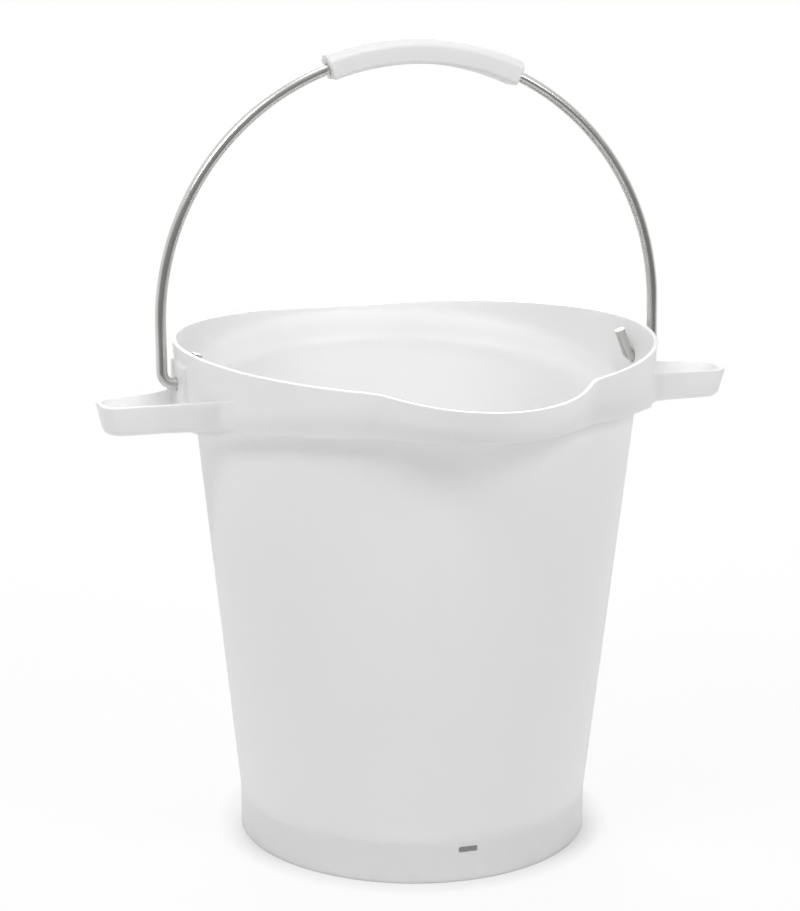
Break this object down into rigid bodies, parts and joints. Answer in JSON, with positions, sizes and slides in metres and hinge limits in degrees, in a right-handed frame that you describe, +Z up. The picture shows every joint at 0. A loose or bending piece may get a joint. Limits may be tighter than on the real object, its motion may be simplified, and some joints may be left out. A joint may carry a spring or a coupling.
{
  "type": "bucket",
  "caption": "White plastic bucket with a pouring spout, side handles on a stepped collar, and a swinging steel wire bail with a moulded grip.",
  "frame": {"origin": "middle of the box around the bucket, on the surface that it stands on", "axes": "+Z up, -Y towards the pouring spout, X through both side handles and along the bail's pivot"},
  "size_m": [0.485, 0.398, 0.5995],
  "materials": {
    "bucket_plastic": "satin white polypropylene",
    "bail_steel": "bright drawn stainless wire",
    "grip_plastic": "satin white"
  },
  "bodies": {
    "bucket": {"bucket_shell": "bucket_plastic"},
    "bail": {"bail_wire": "bail_steel", "bail_grip": "grip_plastic"}
  },
  "joints": [
    {"name": "bail", "type": "hinge", "parent": "bucket", "child": "bail", "pos_m": [0, 0.0193, 0.3555], "axis": [1, 0, 0], "range_deg": [-98, 94]}
  ]
}
